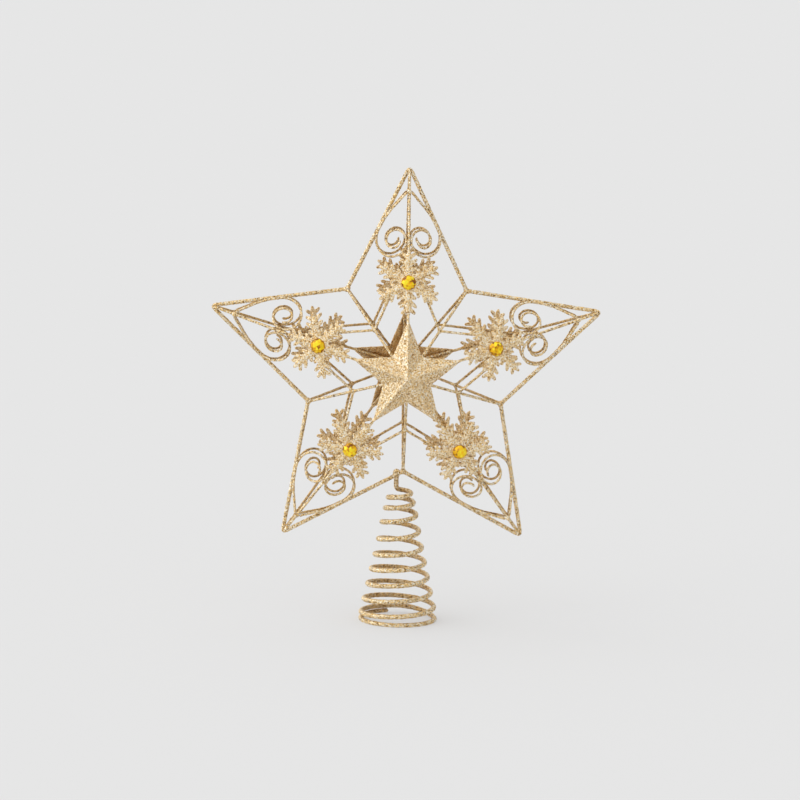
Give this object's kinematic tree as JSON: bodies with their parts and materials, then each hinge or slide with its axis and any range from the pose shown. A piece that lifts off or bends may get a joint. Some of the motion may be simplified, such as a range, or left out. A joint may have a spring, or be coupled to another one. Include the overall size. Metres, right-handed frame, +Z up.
{
  "type": "tree topper star",
  "caption": "Hollow pointed star of gold glittered wire with scrolls, snowflakes and amber stones, on a coiled wire cone that slips over the top of a tree.",
  "frame": {"origin": "on the surface that the coil stands on, below the middle of the star", "axes": "+Z up to the top point, -Y to the front of the star, +X to the right seen from the front"},
  "size_m": [0.254, 0.0826, 0.2983],
  "materials": {
    "gold_glitter_wire": "champagne gold glitter over steel wire",
    "gold_glitter_sheet": "champagne gold glitter over stamped steel sheet",
    "amber_stone": "clear amber, faceted, foil backed"
  },
  "bodies": {
    "coil": {"coil_base": "gold_glitter_wire"},
    "star": {"outline_rod_1_left": "gold_glitter_wire", "outline_rod_1_right": "gold_glitter_wire", "outline_rod_2_left": "gold_glitter_wire", "outline_rod_2_right": "gold_glitter_wire", "outline_rod_3_left": "gold_glitter_wire", "outline_rod_3_right": "gold_glitter_wire", "outline_rod_4_left": "gold_glitter_wire", "outline_rod_4_right": "gold_glitter_wire", "outline_rod_5_left": "gold_glitter_wire", "outline_rod_5_right": "gold_glitter_wire", "front_spine_1": "gold_glitter_wire", "front_valley_rib_1": "gold_glitter_wire", "front_scroll_heart_1": "gold_glitter_wire", "front_snowflake_1": "gold_glitter_sheet", "front_spine_2": "gold_glitter_wire", "front_valley_rib_2": "gold_glitter_wire", "front_scroll_heart_2": "gold_glitter_wire", "front_snowflake_2": "gold_glitter_sheet", "front_spine_3": "gold_glitter_wire", "front_valley_rib_3": "gold_glitter_wire", "front_scroll_heart_3": "gold_glitter_wire", "front_snowflake_3": "gold_glitter_sheet", "front_spine_4": "gold_glitter_wire", "front_valley_rib_4": "gold_glitter_wire", "front_scroll_heart_4": "gold_glitter_wire", "front_snowflake_4": "gold_glitter_sheet", "front_spine_5": "gold_glitter_wire", "front_valley_rib_5": "gold_glitter_wire", "front_scroll_heart_5": "gold_glitter_wire", "front_snowflake_5": "gold_glitter_sheet", "front_inner_star": "gold_glitter_wire", "front_gems": "amber_stone", "front_star_shell": "gold_glitter_sheet", "back_spine_1": "gold_glitter_wire", "back_valley_rib_1": "gold_glitter_wire", "back_scroll_heart_1": "gold_glitter_wire", "back_snowflake_1": "gold_glitter_sheet", "back_spine_2": "gold_glitter_wire", "back_valley_rib_2": "gold_glitter_wire", "back_scroll_heart_2": "gold_glitter_wire", "back_snowflake_2": "gold_glitter_sheet", "back_spine_3": "gold_glitter_wire", "back_valley_rib_3": "gold_glitter_wire", "back_scroll_heart_3": "gold_glitter_wire", "back_snowflake_3": "gold_glitter_sheet", "back_spine_4": "gold_glitter_wire", "back_valley_rib_4": "gold_glitter_wire", "back_scroll_heart_4": "gold_glitter_wire", "back_snowflake_4": "gold_glitter_sheet", "back_spine_5": "gold_glitter_wire", "back_valley_rib_5": "gold_glitter_wire", "back_scroll_heart_5": "gold_glitter_wire", "back_snowflake_5": "gold_glitter_sheet", "back_inner_star": "gold_glitter_wire", "back_gems": "amber_stone", "back_star_shell": "gold_glitter_sheet"}
  },
  "joints": [
    {"name": "coil_squeeze", "type": "slide", "parent": "coil", "child": "star", "axis": [0, 0, 1], "range_m": [-0.015, 0], "stiffness_N_per_m": 600, "springref_m": 0.003, "deforming": ["coil_base"]}
  ]
}
